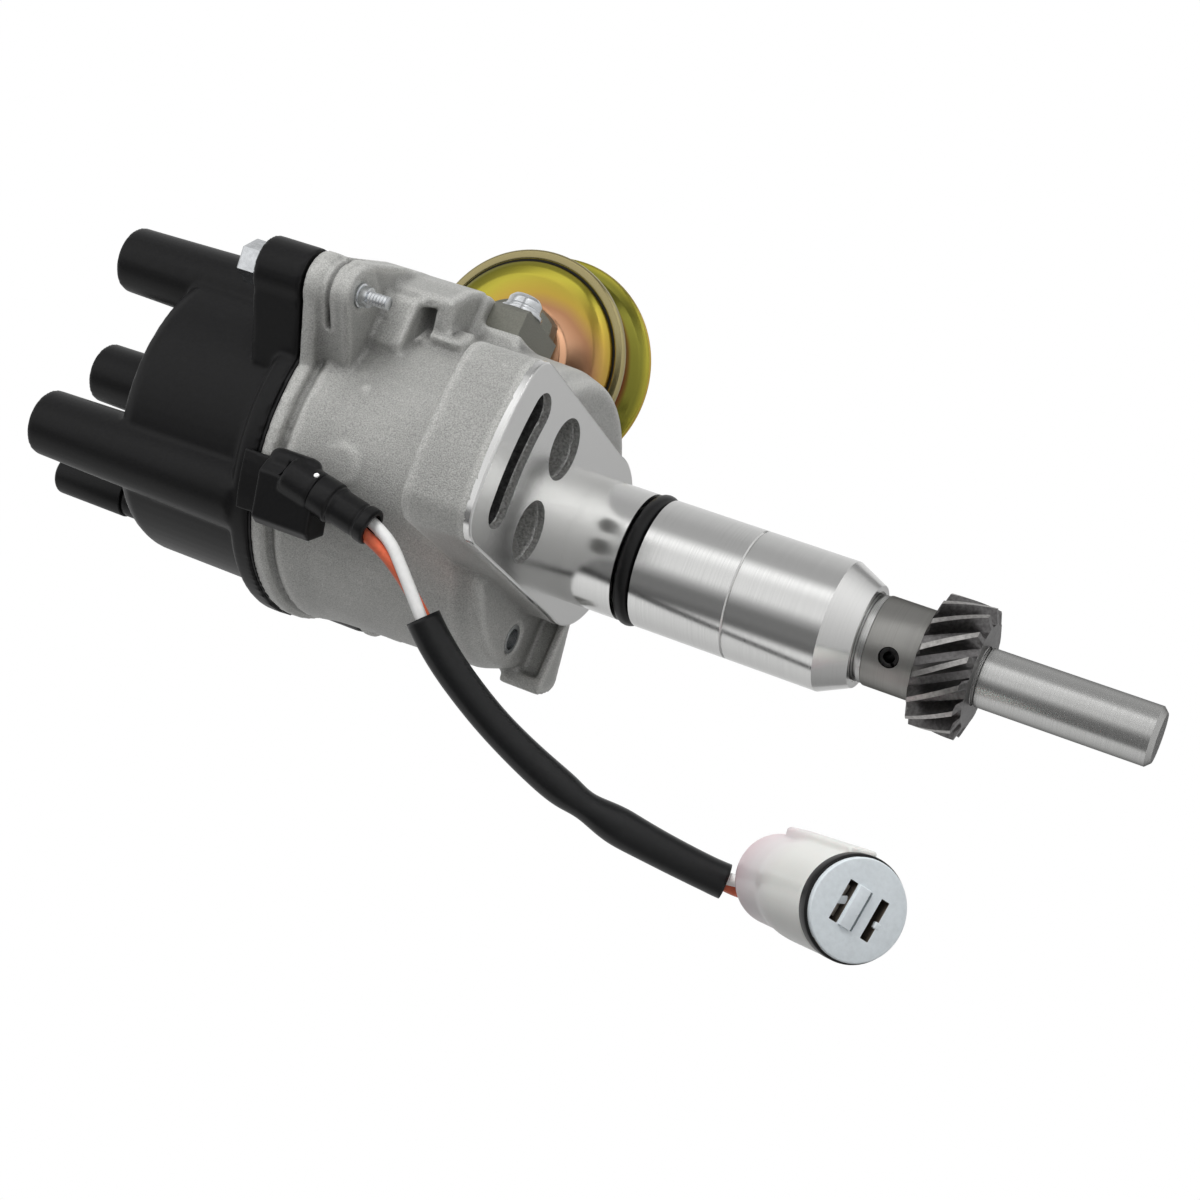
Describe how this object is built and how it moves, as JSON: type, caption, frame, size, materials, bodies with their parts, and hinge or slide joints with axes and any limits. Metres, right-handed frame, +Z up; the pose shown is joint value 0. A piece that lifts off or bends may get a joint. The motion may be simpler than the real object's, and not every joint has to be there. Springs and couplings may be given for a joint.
{
  "type": "ignition distributor",
  "caption": "Ignition distributor: cast housing with turned mounting shank and slotted clamp arm, black cap with lead towers, vacuum advance unit, helical drive gear and pickup lead with plug",
  "frame": {"origin": "on the shaft axis, in the face of the clamp arm that seats on the engine", "axes": "+Z up the shaft to the cap, -Z down the shank to the drive gear, +X along the clamp arm"},
  "size_m": [0.1252, 0.1323, 0.256],
  "materials": {
    "cast_aluminium": "cast, satin",
    "black_rubber": "matt",
    "bronze": "satin",
    "zinc_steel": "bright zinc",
    "cap_plastic": "satin black",
    "contact_brass": "bright",
    "yellow_zinc": "yellow passivated, glossy",
    "red_zinc": "dark red passivated",
    "pickup_plastic": "matt",
    "white_jacket": "satin",
    "red_jacket": "satin",
    "black_sleeve": "satin",
    "plug_white": "milky",
    "plug_grey": "satin",
    "shaft_steel": "ground",
    "gear_steel": "dark, oiled",
    "rotor_plastic": "matt",
    "carbon": "matt"
  },
  "bodies": {
    "case": {"housing": "cast_aluminium", "o_ring": "black_rubber", "lower_bush": "bronze", "upper_bush": "bronze", "ear_bush": "zinc_steel", "distributor_cap": "cap_plastic", "cap_gasket": "black_rubber", "cap_screws": "zinc_steel", "cap_screw_washers": "zinc_steel", "plug_terminals": "contact_brass", "centre_terminal": "contact_brass", "tower_sleeve": "cap_plastic", "vacuum_bracket": "cast_aluminium", "bracket_screw": "zinc_steel", "vacuum_can_front": "yellow_zinc", "vacuum_can_middle": "red_zinc", "vacuum_can_back": "yellow_zinc", "vacuum_membrane": "black_rubber", "vacuum_nipple": "yellow_zinc", "bearing_plate": "zinc_steel", "plate_screws": "zinc_steel", "grommet": "black_rubber", "lead_boot": "black_rubber", "white_wire": "white_jacket", "red_wire": "red_jacket", "lead_sleeve": "black_sleeve", "plug_body": "plug_white", "plug_wire_seal": "plug_white", "plug_seal": "black_rubber", "plug_face": "plug_grey", "plug_blades": "contact_brass", "brush_spring": "zinc_steel"},
    "shaft": {"drive_shaft": "shaft_steel", "drive_gear": "gear_steel", "spring_pin": "gear_steel", "thrust_washers": "shaft_steel", "governor_base": "zinc_steel", "governor_springs": "zinc_steel", "cam_screw": "zinc_steel"},
    "weight_a": {"governor_weight_a": "gear_steel"},
    "weight_b": {"governor_weight_b": "gear_steel"},
    "cam": {"cam_sleeve": "shaft_steel", "reluctor": "gear_steel", "rotor_arm": "rotor_plastic", "rotor_contact": "contact_brass"},
    "pickup": {"pickup_plate": "zinc_steel", "pickup_bracket": "gear_steel", "pickup_core": "gear_steel", "pickup_coil": "pickup_plastic"},
    "puller": {"vacuum_rod": "zinc_steel", "vacuum_spring": "zinc_steel"},
    "brush": {"carbon_brush": "carbon"}
  },
  "joints": [
    {"name": "shaft_spin", "type": "hinge", "parent": "case", "child": "shaft", "pos_m": [0, 0, 0], "axis": [0, 0, 1], "continuous": true},
    {"name": "advance_turn", "type": "hinge", "parent": "shaft", "child": "cam", "pos_m": [0, 0, 0.03], "axis": [0, 0, -1], "range_deg": [0, 12], "stiffness_Nm_per_rad": 0.25, "springref_deg": -5.73},
    {"name": "weight_a_swing", "type": "hinge", "parent": "shaft", "child": "weight_a", "pos_m": [0, 0.0155, 0.024], "axis": [0, 0, 1], "range_deg": [0, 12]},
    {"name": "weight_b_swing", "type": "hinge", "parent": "shaft", "child": "weight_b", "pos_m": [0, -0.0155, 0.024], "axis": [0, 0, 1], "range_deg": [0, 12]},
    {"name": "vacuum_pull", "type": "slide", "parent": "case", "child": "puller", "axis": [-0.9659, 0.2588, 0], "range_m": [0, 0.005], "stiffness_N_per_m": 900, "springref_m": -0.004},
    {"name": "plate_turn", "type": "hinge", "parent": "case", "child": "pickup", "pos_m": [0, 0, 0.042], "axis": [0, 0, 1], "range_deg": [0, 11.5]},
    {"name": "brush_press", "type": "slide", "parent": "case", "child": "brush", "axis": [0, 0, 1], "range_m": [0, 0.0015], "stiffness_N_per_m": 180, "springref_m": -0.003, "deforming": ["brush_spring"]}
  ],
  "couplings": [
    {"joint": "weight_a_swing", "follows": "advance_turn", "ratio": 1},
    {"joint": "weight_b_swing", "follows": "advance_turn", "ratio": 1},
    {"joint": "plate_turn", "follows": "vacuum_pull", "rad_per_m": 40.067}
  ]
}
